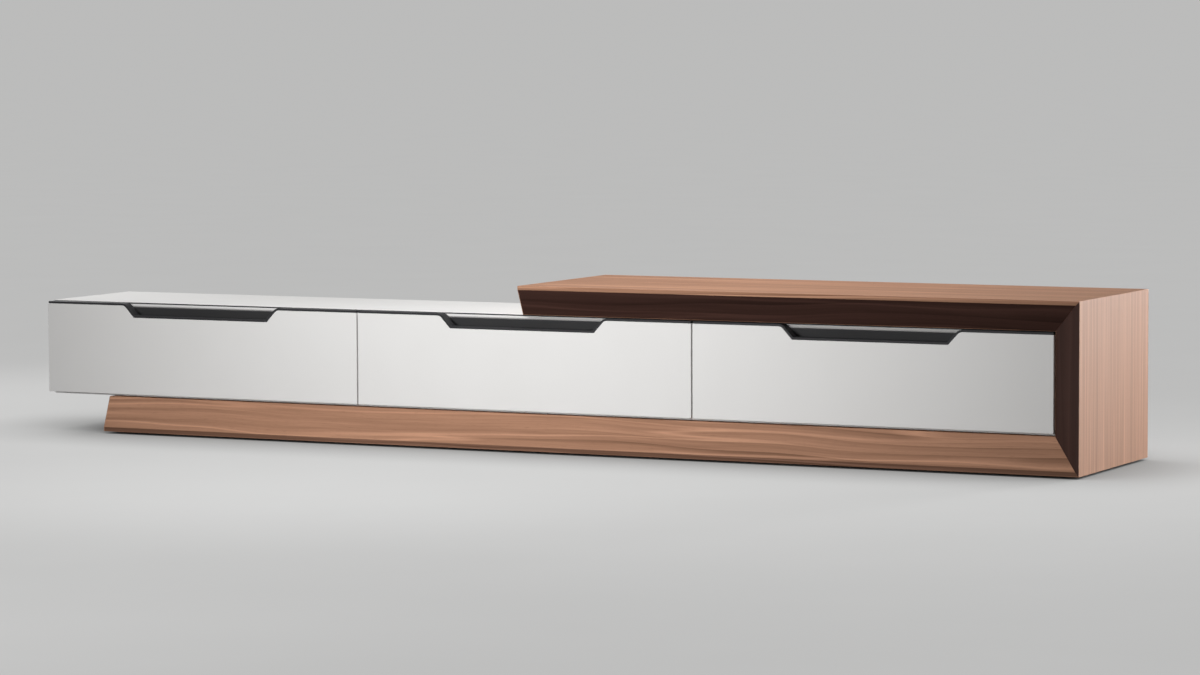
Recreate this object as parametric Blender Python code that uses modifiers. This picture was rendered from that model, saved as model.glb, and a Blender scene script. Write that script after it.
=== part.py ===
"""Media console: three drawers in a white lacquered case, held in a mitred walnut frame.

Units are metres, +Z is up and -Y is the front. The origin is on the floor, below the
middle of the whole console. Every other size and place follows from the values below.
"""

import math

import bmesh
import bpy
from mathutils import Matrix, Vector

MM = 0.001

# Overall box, and the gap left between pieces that touch
LENGTH = 2400 * MM
DEPTH = 412 * MM
HEIGHT = 348 * MM
FIT_GAP = 0.3 * MM

# Walnut frame: a base, a right side and a top, mitred, with a bevel that slopes in to the case
BASE_THICKNESS = 75 * MM
SIDE_THICKNESS = 58 * MM
TOP_LENGTH = 1228 * MM
BASE_SETBACK = 154 * MM
BEVEL_DEPTH = 25 * MM
BEVEL_FLAT_SHARE = 0.13
FRAME_ARRIS = 0.8 * MM

# Loose tongues glued into slots across the two mitres
TONGUE_THICKNESS = 6 * MM
TONGUE_WIDTH = 34 * MM
TONGUE_LENGTH = 300 * MM

# Glides under the base, two across and three along
GLIDE_HEIGHT = 5 * MM
GLIDE_RADIUS = 15 * MM
GLIDE_EDGE = 1 * MM
GLIDE_INSET_X = 110 * MM
GLIDE_INSET_Y = 60 * MM
GLIDE_SIDES = 28

# White case
PANEL = 18 * MM
BACK_PANEL = 6 * MM
CASE_HEIGHT = 206 * MM
CASE_FRONT_RECESS = 44.4 * MM
CASE_REAR_RECESS = 65 * MM
CASE_SIDE_GAP = 0.5 * MM
CASE_ARRIS = 0.8 * MM
LIP_HEIGHT = 8 * MM
DRAWER_COUNT = 3
DRAWER_NAMES = ("left", "middle", "right")

# Charcoal finger rail, folded from sheet and fixed under the lip of the case's top
RAIL_SHEET = 2 * MM
RAIL_LIP_CLEARANCE = 0.35 * MM
RAIL_SETBACK = 1.6 * MM
RAIL_SLOPE = 20 * MM
RAIL_DROP = 15 * MM
RAIL_END_GAP = 0.5 * MM

# Drawer fronts, each with a wide shallow notch in its top edge as the pull
FRONT_RECESS = 20 * MM
FRONT_THICKNESS = 19 * MM
FRONT_HEIGHT = 194 * MM
FRONT_SHADOW_GAP = 5.5 * MM
FRONT_GAP = 3 * MM
FRONT_SIDE_GAP = 2 * MM
FRONT_ARRIS = 0.8 * MM
NOTCH_TOP_WIDTH = 384 * MM
NOTCH_BOTTOM_WIDTH = 336 * MM
NOTCH_DEPTH = 26 * MM
NOTCH_SHOULDER = 14 * MM
NOTCH_CORNER = 3 * MM

# Charcoal trim: a cap along the notched top edge of each front, with a flange behind the front
TRIM_FLANGE = 3 * MM
TRIM_CAP = 4.8 * MM
TRIM_HEIGHT = 43.5 * MM
TRIM_END_INSET = 1 * MM
TRIM_FACE_SETBACK = 0.5 * MM
TRIM_SHARPEST_CORNER = 0.6 * MM
CUT_MARGIN = 10 * MM

# Drawer boxes
BOX_WALL = 12 * MM
BOX_FRONT_WALL = 15 * MM
BOX_BOTTOM = 6 * MM
BOX_DEPTH = 277 * MM
BOX_LOW = 108 * MM
BOX_HEIGHT = 122 * MM
BOX_BACK_DROP = 6 * MM
GROOVE_DEPTH = 6 * MM
GROOVE_HEIGHT = 6.6 * MM
GROOVE_RISE = 8 * MM
BOX_ARRIS = 0.6 * MM

# Telescopic ball-bearing slides: nested channels, 45 mm high and 13 mm wide in all
SLIDE_LENGTH = 250 * MM
SLIDE_SPACE = 13 * MM
SLIDE_SHEET = 1.2 * MM
SLIDE_SETBACK = 13.6 * MM
SLIDE_CENTRE_Z = 170 * MM
CABINET_MEMBER_HALF = 22.5 * MM
MIDDLE_MEMBER_HALF = 18.3 * MM
DRAWER_MEMBER_HALF = 14.1 * MM
CABINET_MEMBER_REACH = (0.3 * MM, 10.3 * MM)
MIDDLE_MEMBER_REACH = (3.0 * MM, 11.3 * MM)
DRAWER_MEMBER_REACH = (12.7 * MM, 5.5 * MM)

# Places worked out from the sizes
LEFT = -LENGTH / 2
RIGHT = LENGTH / 2
FRAME_FRONT = -DEPTH / 2
FRAME_BACK = DEPTH / 2
BASE_TOP = GLIDE_HEIGHT + BASE_THICKNESS
CASE_BOTTOM = BASE_TOP + FIT_GAP
CASE_TOP = BASE_TOP + CASE_HEIGHT
TOP_THICKNESS = HEIGHT - CASE_TOP - FIT_GAP
FRAME_SIDE_INNER = RIGHT - SIDE_THICKNESS
CASE_FRONT = FRAME_FRONT + CASE_FRONT_RECESS
CASE_BACK = FRAME_BACK - CASE_REAR_RECESS
CASE_RIGHT = FRAME_SIDE_INNER - CASE_SIDE_GAP
INSIDE_LOW = CASE_BOTTOM + PANEL
INSIDE_HIGH = CASE_TOP - PANEL
BAY_WIDTH = (CASE_RIGHT - LEFT - (DRAWER_COUNT + 1) * PANEL) / DRAWER_COUNT
FRONT_FACE = FRAME_FRONT + FRONT_RECESS
FRONT_BACK = FRONT_FACE + FRONT_THICKNESS + FIT_GAP
FRONT_LOW = BASE_TOP + FRONT_SHADOW_GAP
FRONT_HIGH = FRONT_LOW + FRONT_HEIGHT
FRONTS_WIDTH = FRAME_SIDE_INNER - FRONT_SIDE_GAP - LEFT
FRONT_WIDTH = (FRONTS_WIDTH - (DRAWER_COUNT - 1) * FRONT_GAP) / DRAWER_COUNT
BOX_WIDTH = BAY_WIDTH - 2 * SLIDE_SPACE
SLIDE_FRONT = CASE_FRONT + SLIDE_SETBACK

# Axes of an outline's own X, Y and of its thickness, for the two ways that outlines are extruded
ALONG_X = Matrix(((0, 0, 1, 0), (1, 0, 0, 0), (0, 1, 0, 0), (0, 0, 0, 1)))
ALONG_Y = Matrix(((1, 0, 0, 0), (0, 0, -1, 0), (0, 1, 0, 0), (0, 0, 0, 1)))

ARC_STEP = math.radians(8)
ARRIS_ANGLE = math.radians(35)
SMOOTH_ANGLE = math.radians(30)
WELD = 0.01 * MM


def clear_scene():
    """Removes every object of the scene that is open."""
    for obj in list(bpy.data.objects):
        bpy.data.objects.remove(obj, do_unlink=True)


def new_collection(name):
    """A collection of this name, linked to the scene."""
    collection = bpy.data.collections.new(name)
    bpy.context.scene.collection.children.link(collection)
    return collection


def finish(name, colour, roughness, metallic=0.0):
    """A Principled material."""
    material = bpy.data.materials.new(name)
    material.use_nodes = True
    shader = material.node_tree.nodes["Principled BSDF"]
    shader.inputs["Base Color"].default_value = (*colour, 1.0)
    shader.inputs["Roughness"].default_value = roughness
    shader.inputs["Metallic"].default_value = metallic
    material.diffuse_color = (*colour, 1.0)
    return material


def make_finishes():
    """The console's finishes, by name."""
    return {
        "walnut": finish("walnut_veneer", (0.28, 0.145, 0.085), 0.45),
        "lacquer": finish("white_lacquer", (0.80, 0.79, 0.775), 0.35),
        "charcoal": finish("charcoal_powder_coat", (0.035, 0.035, 0.038), 0.55),
        "box": finish("drawer_box_ply", (0.62, 0.50, 0.36), 0.55),
        "steel": finish("zinc_plated_steel", (0.62, 0.63, 0.64), 0.30, 1.0),
        "glide": finish("black_glide", (0.02, 0.02, 0.02), 0.60),
    }


def add_object(name, mesh, collection, material, place=Matrix(), parent=None):
    """An object of this mesh, placed by a matrix under its parent."""
    obj = bpy.data.objects.new(name, mesh)
    collection.objects.link(obj)
    mesh.materials.clear()
    mesh.materials.append(material)
    obj.parent = parent
    obj.matrix_basis = place
    return obj


def ease_edges(obj, width):
    """Rounds the sharp edges of an object by a small arris."""
    bevel = obj.modifiers.new("arris", "BEVEL")
    bevel.limit_method = "ANGLE"
    bevel.angle_limit = ARRIS_ANGLE
    bevel.width = width
    bevel.segments = 1
    bevel.use_clamp_overlap = True


def hide_cutter(cutter):
    """Keeps a cutter out of the renders and shows it as wires."""
    cutter.hide_render = True
    cutter.display_type = "WIRE"


def cut_away(obj, name, cutter):
    """Takes a cutter's shape out of an object."""
    cut = obj.modifiers.new(name, "BOOLEAN")
    cut.operation = "DIFFERENCE"
    cut.object = cutter


def panel(name, low, high, collection, material, arris, parent=None):
    """A flat board between two corners, with eased edges."""
    low, high = Vector(low), Vector(high)
    mesh = bpy.data.meshes.new(name)
    shape = bmesh.new()
    bmesh.ops.create_cube(shape, size=1.0)
    bmesh.ops.scale(shape, vec=high - low, verts=shape.verts)
    shape.to_mesh(mesh)
    shape.free()
    obj = add_object(name, mesh, collection, material, Matrix.Translation((low + high) / 2), parent)
    ease_edges(obj, arris)
    return obj


def rounded_outline(corners):
    """Points of a closed outline whose corners are (x, y, radius), with arcs at the round ones."""
    points = []
    for index, (x, y, radius) in enumerate(corners):
        corner = Vector((x, y))
        if radius == 0:
            points.append(corner)
            continue
        before = (Vector(corners[index - 1][:2]) - corner).normalized()
        after = (Vector(corners[(index + 1) % len(corners)][:2]) - corner).normalized()
        half = before.angle(after) / 2
        centre = corner + (before + after).normalized() * radius / math.sin(half)
        start = corner + before * radius / math.tan(half) - centre
        stop = corner + after * radius / math.tan(half) - centre
        turn = start.angle_signed(stop)
        steps = max(2, round(abs(turn) / ARC_STEP))
        for step in range(steps + 1):
            points.append(centre + Matrix.Rotation(-turn * step / steps, 2) @ start)
    return points


def sheet_outline(path, thickness):
    """Outline of a folded sheet: a path, and the same path moved to its left, mitred at the folds."""
    points = [Vector(point) for point in path]
    moved = []
    for index, point in enumerate(points):
        runs = [run for run in (index - 1, index) if 0 <= run < len(points) - 1]
        directions = [(points[run + 1] - points[run]).normalized() for run in runs]
        normals = [Vector((-direction.y, direction.x)) for direction in directions]
        mitre = sum(normals, Vector((0.0, 0.0)))
        moved.append(point + mitre * thickness / mitre.dot(normals[0]))
    return points + moved[::-1]


def extruded_mesh(name, outline, thickness):
    """The mesh of a flat outline, extruded by half the thickness to each side of its plane."""
    curve = bpy.data.curves.new(name, "CURVE")
    curve.dimensions = "2D"
    curve.fill_mode = "BOTH"
    curve.extrude = thickness / 2
    spline = curve.splines.new("POLY")
    spline.points.add(len(outline) - 1)
    for point, (x, y) in zip(spline.points, outline):
        point.co = (x, y, 0.0, 1.0)
    spline.use_cyclic_u = True
    guide = bpy.data.objects.new(name + "_outline", curve)
    bpy.context.scene.collection.objects.link(guide)
    graph = bpy.context.evaluated_depsgraph_get()
    mesh = bpy.data.meshes.new_from_object(guide.evaluated_get(graph))
    bpy.data.objects.remove(guide, do_unlink=True)
    bpy.data.curves.remove(curve)
    mesh.name = name
    shape = bmesh.new()
    shape.from_mesh(mesh)
    bmesh.ops.remove_doubles(shape, verts=shape.verts, dist=WELD)
    bmesh.ops.recalc_face_normals(shape, faces=shape.faces)
    shape.to_mesh(mesh)
    shape.free()
    return mesh


def extruded(name, outline, axes, span, collection, material, arris=0.0, parent=None, place=Matrix()):
    """A piece of constant section, extruded over a span (start, stop) of the axis that axes names."""
    start, stop = span
    mesh = extruded_mesh(name, outline, stop - start)
    middle = axes.to_3x3() @ Vector((0.0, 0.0, (start + stop) / 2))
    if axes is ALONG_Y:
        middle = -middle
    obj = add_object(name, mesh, collection, material, place @ Matrix.Translation(middle) @ axes, parent)
    if arris:
        ease_edges(obj, arris)
    return obj


# The walnut frame


def mitre_shift(depth, own, mate):
    """How far a mitred end is cut back at a depth from the outer face, with half of the fit gap."""
    return depth * mate / own + FIT_GAP / 2 * math.hypot(own, mate) / own


def frame_member(name, thickness, length, corner, inward, mates, collection, material):
    """One member of the frame, from its outer corner, with each end square or mitred to its mate.

    The section lies in Y and inward, so its bevel meets those of its neighbours in the mitres.
    mates holds the thickness of the neighbour at the start and at the end, or None if square.
    """
    flat = thickness * BEVEL_FLAT_SHARE
    section = [
        (FRAME_FRONT, 0.0),
        (FRAME_FRONT, flat),
        (FRAME_FRONT + BEVEL_DEPTH, thickness),
        (FRAME_BACK, thickness),
        (FRAME_BACK, 0.0),
    ]
    mesh = extruded_mesh(name, section, length)
    shape = bmesh.new()
    shape.from_mesh(mesh)
    weights = shape.edges.layers.float.new("bevel_weight_edge")
    for edge in shape.edges:
        first, second = edge.verts
        edge[weights] = float(first.co.z * second.co.z < 0)
    for vertex in shape.verts:
        mate = mates[vertex.co.z > 0]
        if mate is not None:
            vertex.co.z -= math.copysign(mitre_shift(vertex.co.y, thickness, mate), vertex.co.z)
    shape.to_mesh(mesh)
    shape.free()
    across = Vector((0.0, 1.0, 0.0))
    inward = Vector(inward)
    along = across.cross(inward)
    turn = Matrix((across, inward, along)).transposed().to_4x4()
    place = Matrix.Translation(Vector(corner) + along * length / 2) @ turn
    obj = add_object(name, mesh, collection, material, place)
    bevel = obj.modifiers.new("arris", "BEVEL")
    bevel.limit_method = "WEIGHT"
    bevel.width = FRAME_ARRIS
    bevel.segments = 1
    return obj


def tongue(name, inner, outer, members, collection, cutters, material):
    """A loose tongue across the mitre from an inner to an outer corner, in slots of its two members."""
    inner, outer = Vector(inner), Vector(outer)
    slope = math.atan2(outer.z - inner.z, outer.x - inner.x)
    place = Matrix.Translation((inner + outer) / 2) @ Matrix.Rotation(-slope, 4, "Y")
    size = Vector((TONGUE_THICKNESS, TONGUE_LENGTH, TONGUE_WIDTH))
    room = Vector((FIT_GAP, FIT_GAP, FIT_GAP))
    board = panel(name, -size / 2, size / 2, collection, material, FRAME_ARRIS)
    board.matrix_basis = place
    slot = panel(name + "_slot", -size / 2 - room, size / 2 + room, cutters, material, FRAME_ARRIS)
    slot.modifiers.clear()
    slot.matrix_basis = place
    hide_cutter(slot)
    for member in members:
        cut_away(member, "tongue slot", slot)


def build_frame(collection, cutters, finishes):
    """Base, side and top with their tongues."""
    walnut = finishes["walnut"]
    base = frame_member(
        "frame_base", BASE_THICKNESS, LENGTH - BASE_SETBACK, (LEFT + BASE_SETBACK, 0.0, GLIDE_HEIGHT),
        (0, 0, 1), (None, SIDE_THICKNESS), collection, walnut,
    )
    side = frame_member(
        "frame_side", SIDE_THICKNESS, HEIGHT - GLIDE_HEIGHT, (RIGHT, 0.0, GLIDE_HEIGHT),
        (-1, 0, 0), (BASE_THICKNESS, TOP_THICKNESS), collection, walnut,
    )
    top = frame_member(
        "frame_top", TOP_THICKNESS, TOP_LENGTH, (RIGHT, 0.0, HEIGHT),
        (0, 0, -1), (SIDE_THICKNESS, None), collection, walnut,
    )
    inner_x = FRAME_SIDE_INNER
    tongue(
        "frame_top_tongue", (inner_x, 0.0, HEIGHT - TOP_THICKNESS), (RIGHT, 0.0, HEIGHT),
        (top, side), collection, cutters, finishes["box"],
    )
    tongue(
        "frame_base_tongue", (inner_x, 0.0, BASE_TOP), (RIGHT, 0.0, GLIDE_HEIGHT),
        (base, side), collection, cutters, finishes["box"],
    )


def build_glides(collection, material):
    """Six round glides under the base, which lift it off the floor."""
    start = LEFT + BASE_SETBACK + GLIDE_INSET_X
    stop = RIGHT - GLIDE_INSET_X
    height = GLIDE_HEIGHT - FIT_GAP
    for column, along in enumerate(("left", "middle", "right")):
        for row, across in enumerate(("front", "rear")):
            mesh = bpy.data.meshes.new("base_glide")
            shape = bmesh.new()
            bmesh.ops.create_cone(
                shape, cap_ends=True, segments=GLIDE_SIDES,
                radius1=GLIDE_RADIUS, radius2=GLIDE_RADIUS, depth=height,
            )
            shape.to_mesh(mesh)
            shape.free()
            mesh.shade_smooth()
            mesh.set_sharp_from_angle(angle=SMOOTH_ANGLE)
            x = start + (stop - start) * column / 2
            y = (FRAME_FRONT + GLIDE_INSET_Y) * (1 - 2 * row)
            place = Matrix.Translation((x, y, height / 2))
            glide = add_object(f"base_glide_{across}_{along}", mesh, collection, material, place)
            ease_edges(glide, GLIDE_EDGE)


# The white case


def upright_left(index):
    """Left face of the case's upright panel number index, from the left side to the right side."""
    return LEFT + index * (PANEL + BAY_WIDTH)


def bay_left(index):
    """Left wall of a bay."""
    return upright_left(index) + PANEL


def build_case(collection, finishes):
    """Top, bottom, two sides, two dividers, back, and a finger rail for each bay."""
    lacquer = finishes["lacquer"]
    undercut = PANEL - LIP_HEIGHT
    lip_section = [
        (CASE_FRONT, CASE_TOP),
        (CASE_FRONT, CASE_TOP - LIP_HEIGHT),
        (CASE_FRONT + undercut, INSIDE_HIGH),
        (CASE_BACK, INSIDE_HIGH),
        (CASE_BACK, CASE_TOP),
    ]
    extruded("case_top", lip_section, ALONG_X, (LEFT, CASE_RIGHT), collection, lacquer, CASE_ARRIS)
    panel(
        "case_bottom", (LEFT, CASE_FRONT, CASE_BOTTOM), (CASE_RIGHT, CASE_BACK, INSIDE_LOW),
        collection, lacquer, CASE_ARRIS,
    )
    uprights = ("case_left_side", "case_divider_left", "case_divider_right", "case_right_side")
    for index, name in enumerate(uprights):
        x = upright_left(index)
        is_divider = "divider" in name
        front = CASE_FRONT + (undercut if is_divider else 0.0)
        back = CASE_BACK - (BACK_PANEL + FIT_GAP if is_divider else 0.0)
        panel(
            name, (x, front, INSIDE_LOW + FIT_GAP), (x + PANEL, back, INSIDE_HIGH - FIT_GAP),
            collection, lacquer, CASE_ARRIS,
        )
    panel(
        "case_back", (bay_left(0) + FIT_GAP, CASE_BACK - BACK_PANEL, INSIDE_LOW + FIT_GAP),
        (upright_left(DRAWER_COUNT) - FIT_GAP, CASE_BACK, INSIDE_HIGH - FIT_GAP),
        collection, lacquer, CASE_ARRIS,
    )
    build_finger_rails(collection, finishes["charcoal"])


def build_finger_rails(collection, material):
    """A folded rail per bay: down and back from the lip at 45 degrees, then straight down."""
    lip_line = CASE_FRONT + CASE_TOP - LIP_HEIGHT - RAIL_LIP_CLEARANCE * math.sqrt(2)
    start_y = CASE_FRONT + RAIL_SETBACK
    fold_y = start_y + RAIL_SLOPE
    path = [
        (start_y, lip_line - start_y),
        (fold_y, lip_line - fold_y),
        (fold_y, lip_line - fold_y - RAIL_DROP),
    ]
    section = sheet_outline(path, -RAIL_SHEET)
    for index, name in enumerate(DRAWER_NAMES):
        left = bay_left(index) + RAIL_END_GAP
        right = bay_left(index) + BAY_WIDTH - RAIL_END_GAP
        extruded(f"finger_rail_{name}", section, ALONG_X, (left, right), collection, material)


# The drawers


def notched_outline(half_width, low, high, grow):
    """Outline of a front with the pull notch in its top edge, its top and notch grown outwards."""
    half_top = NOTCH_TOP_WIDTH / 2
    half_bottom = NOTCH_BOTTOM_WIDTH / 2
    run = half_top - half_bottom
    inset = grow * (math.hypot(run, NOTCH_DEPTH) - run) / NOTCH_DEPTH
    floor = high - NOTCH_DEPTH + grow
    high = high + grow
    shoulder = NOTCH_SHOULDER + grow
    corner = max(NOTCH_CORNER - grow, TRIM_SHARPEST_CORNER)
    return rounded_outline([
        (-half_width, low, 0),
        (half_width, low, 0),
        (half_width, high, 0),
        (half_top - inset, high, shoulder),
        (half_bottom - inset, floor, corner),
        (-half_bottom + inset, floor, corner),
        (-half_top + inset, high, shoulder),
        (-half_width, high, 0),
    ])


def build_front(name, carrier, collection, cutters, finishes):
    """The white front and the charcoal trim on its top edge, in the carrier's own frame."""
    outline = notched_outline(FRONT_WIDTH / 2, FRONT_LOW, FRONT_HIGH, 0.0)
    extruded(
        f"drawer_{name}_front", outline, ALONG_Y, (FRONT_FACE, FRONT_FACE + FRONT_THICKNESS),
        collection, finishes["lacquer"], FRONT_ARRIS, carrier,
    )
    trim_low = FRONT_HIGH - TRIM_HEIGHT
    outline = notched_outline(FRONT_WIDTH / 2 - TRIM_END_INSET, trim_low, FRONT_HIGH, TRIM_CAP)
    trim = extruded(
        f"drawer_{name}_pull_trim", outline, ALONG_Y,
        (FRONT_FACE + TRIM_FACE_SETBACK, FRONT_BACK + TRIM_FLANGE),
        collection, finishes["charcoal"], 0.0, carrier,
    )
    outline = notched_outline(FRONT_WIDTH / 2 + CUT_MARGIN, FRONT_LOW, FRONT_HIGH, FIT_GAP)
    front_room = extruded(
        f"drawer_{name}_front_room", outline, ALONG_Y, (FRONT_FACE - CUT_MARGIN, FRONT_BACK),
        cutters, finishes["charcoal"], 0.0, carrier,
    )
    hide_cutter(front_room)
    cut_away(trim, "front room", front_room)


def grooved_section(wall, groove_low):
    """Section of a box wall, wide side at 0, with a groove for the bottom in the face at wall."""
    groove_high = groove_low + GROOVE_HEIGHT
    high = BOX_LOW + BOX_HEIGHT
    return [
        (0.0, BOX_LOW),
        (wall, BOX_LOW),
        (wall, groove_low),
        (wall - GROOVE_DEPTH, groove_low),
        (wall - GROOVE_DEPTH, groove_high),
        (wall, groove_high),
        (wall, high),
        (0.0, high),
    ]


def build_box(name, middle, carrier, collection, material):
    """Front wall, sides, back and bottom of a drawer box; middle is its centre in the carrier's X."""
    groove_low = BOX_LOW + GROOVE_RISE
    left = middle - BOX_WIDTH / 2
    right = middle + BOX_WIDTH / 2
    wall_back = FRONT_BACK + BOX_FRONT_WALL
    side_front = wall_back + FIT_GAP
    back = FRONT_BACK + BOX_DEPTH
    section = grooved_section(BOX_FRONT_WALL, groove_low)
    extruded(
        f"drawer_{name}_box_front", section, ALONG_X, (left, right), collection, material,
        BOX_ARRIS, carrier, Matrix.Translation((0.0, FRONT_BACK, 0.0)),
    )
    section = grooved_section(BOX_WALL, groove_low)
    mirrored = [(-x, z) for x, z in reversed(section)]
    for side, outline, edge in (("left", section, left), ("right", mirrored, right)):
        extruded(
            f"drawer_{name}_box_{side}", outline, ALONG_Y, (side_front, back), collection, material,
            BOX_ARRIS, carrier, Matrix.Translation((edge, 0.0, 0.0)),
        )
    tuck = GROOVE_DEPTH - FIT_GAP
    bottom_low = groove_low + FIT_GAP
    bottom_high = bottom_low + BOX_BOTTOM
    panel(
        f"drawer_{name}_box_bottom",
        (left + BOX_WALL - tuck, wall_back - tuck, bottom_low),
        (right - BOX_WALL + tuck, back, bottom_high),
        collection, material, BOX_ARRIS / 2, carrier,
    )
    panel(
        f"drawer_{name}_box_back",
        (left + BOX_WALL + FIT_GAP, back - BOX_WALL, bottom_high + FIT_GAP),
        (right - BOX_WALL - FIT_GAP, back, BOX_LOW + BOX_HEIGHT - BOX_BACK_DROP),
        collection, material, BOX_ARRIS, carrier,
    )


def channel_section(reach, half_height):
    """Section of a slide member: a channel of sheet from its back to its open side."""
    closed, opened = reach
    path = [
        (opened, SLIDE_CENTRE_Z - half_height),
        (closed, SLIDE_CENTRE_Z - half_height),
        (closed, SLIDE_CENTRE_Z + half_height),
        (opened, SLIDE_CENTRE_Z + half_height),
    ]
    inner = -SLIDE_SHEET if opened > closed else SLIDE_SHEET
    return sheet_outline(path, inner)


def build_slides(name, walls, carrier, carriage, collection, material):
    """The cabinet, middle and drawer members of a drawer's two slides, on the bay's two walls."""
    members = (
        ("cabinet", CABINET_MEMBER_REACH, CABINET_MEMBER_HALF, None),
        ("middle", MIDDLE_MEMBER_REACH, MIDDLE_MEMBER_HALF, carriage),
        ("drawer", DRAWER_MEMBER_REACH, DRAWER_MEMBER_HALF, carrier),
    )
    span = (SLIDE_FRONT, SLIDE_FRONT + SLIDE_LENGTH)
    for member, reach, half_height, parent in members:
        section = channel_section(reach, half_height)
        mirrored = [(-x, z) for x, z in reversed(section)]
        for (side, wall), outline in zip(walls.items(), (section, mirrored)):
            origin = wall - (parent.location.x if parent else 0.0)
            extruded(
                f"slide_{name}_{side}_{member}_member", outline, ALONG_Y, span, collection, material,
                0.0, parent, Matrix.Translation((origin, 0.0, 0.0)),
            )


def build_drawers(collection, cutters, finishes):
    """Three drawers, each under an empty that moves along Y, with its slides' middle members."""
    for index, name in enumerate(DRAWER_NAMES):
        centre = LEFT + FRONT_WIDTH / 2 + index * (FRONT_WIDTH + FRONT_GAP)
        carrier = bpy.data.objects.new(f"drawer_{name}_carrier", None)
        carriage = bpy.data.objects.new(f"drawer_{name}_carriage", None)
        for empty in (carrier, carriage):
            empty.location = (centre, 0.0, 0.0)
            collection.objects.link(empty)
        walls = {"left": bay_left(index), "right": bay_left(index) + BAY_WIDTH}
        box_middle = (walls["left"] + walls["right"]) / 2 - centre
        build_front(name, carrier, collection, cutters, finishes)
        build_box(name, box_middle, carrier, collection, finishes["box"])
        build_slides(name, walls, carrier, carriage, collection, finishes["steel"])


def main():
    """Builds the console."""
    clear_scene()
    parts = new_collection("media_console")
    cutters = new_collection("cutters")
    finishes = make_finishes()
    build_frame(parts, cutters, finishes)
    build_glides(parts, finishes["glide"])
    build_case(parts, finishes)
    build_drawers(parts, cutters, finishes)


main()
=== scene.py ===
"""Looks of the media console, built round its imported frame.

Units are metres, +Z is up and -Y is the front, as in the frame. Each sub-assembly is a class that
takes its places from the frame's nodes, shapes its pieces and dresses them with a finish.
"""

import logging
import math
from collections.abc import Iterable, Sequence
from dataclasses import dataclass, replace
from enum import Enum
from functools import cache

import bmesh
import bpy
from bmesh.types import BMesh
from bpy.types import Material, Mesh, Node, NodeSocket, NodeTree, Object
from mathutils import Matrix, Vector


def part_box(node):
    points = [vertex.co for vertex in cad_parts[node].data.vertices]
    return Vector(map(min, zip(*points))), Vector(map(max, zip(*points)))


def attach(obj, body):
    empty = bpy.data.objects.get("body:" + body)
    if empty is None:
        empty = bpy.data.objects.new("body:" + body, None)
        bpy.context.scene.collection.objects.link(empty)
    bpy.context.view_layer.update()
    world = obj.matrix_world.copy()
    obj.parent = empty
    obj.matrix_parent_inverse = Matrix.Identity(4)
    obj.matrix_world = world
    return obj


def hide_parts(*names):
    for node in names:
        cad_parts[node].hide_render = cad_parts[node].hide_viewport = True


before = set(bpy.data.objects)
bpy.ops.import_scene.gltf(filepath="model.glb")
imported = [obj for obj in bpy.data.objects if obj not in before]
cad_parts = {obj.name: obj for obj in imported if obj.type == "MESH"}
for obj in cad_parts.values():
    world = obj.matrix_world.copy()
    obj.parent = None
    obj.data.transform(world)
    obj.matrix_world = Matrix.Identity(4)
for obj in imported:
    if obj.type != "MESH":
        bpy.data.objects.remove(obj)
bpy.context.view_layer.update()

MM = 0.001
GRAIN_ATTRIBUTE = "grain"
EDGE_ATTRIBUTE = "board_edge"
ARC_STEP = math.radians(8)
FEWEST_ARC_STEPS = 3
SHARP_ANGLE = math.radians(30)
CABINET = "cabinet"
PANEL_SCREW_RADIUS = 3.6 * MM

LOG = logging.getLogger("media_console")

Span = tuple[float, float]
Triple = tuple[float, float, float]
Feed = NodeSocket | float | int | tuple
Feeds = dict[str | int, Feed]
FeedSpan = tuple[Feed, Feed]
Outline = Sequence[Span]
Rings = Sequence[Sequence[Vector]]


class Slot(Enum):
    """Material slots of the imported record."""

    WALNUT = "walnut"
    LACQUER = "lacquer"
    CHARCOAL = "charcoal"
    BOX_PLY = "box_ply"
    STEEL = "steel"
    GLIDE = "glide"


class Axis(Enum):
    """The frame's axes."""

    X = (1.0, 0.0, 0.0)
    Y = (0.0, 1.0, 0.0)
    Z = (0.0, 0.0, 1.0)

    @property
    def vector(self) -> Vector:
        """The axis as a unit vector."""
        return Vector(self.value)


class Bay(Enum):
    """The console's three bays, each with a drawer."""

    LEFT = "left"
    MIDDLE = "middle"
    RIGHT = "right"


class Side(Enum):
    """The two sides of a bay."""

    LEFT = "left"
    RIGHT = "right"


class Wall(Enum):
    """The grooved walls of a drawer box."""

    FRONT = "front"
    LEFT = "left"
    RIGHT = "right"


class Member(Enum):
    """The nested members of a slide, from the cabinet to the drawer."""

    CABINET = "cabinet"
    MIDDLE = "middle"
    DRAWER = "drawer"


class Coordinates(Enum):
    """Where a wood finish reads its grain from."""

    GRAIN = "the piece's own grain attribute"
    OBJECT = "the object's coordinates"


# Drawing node trees


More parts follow.
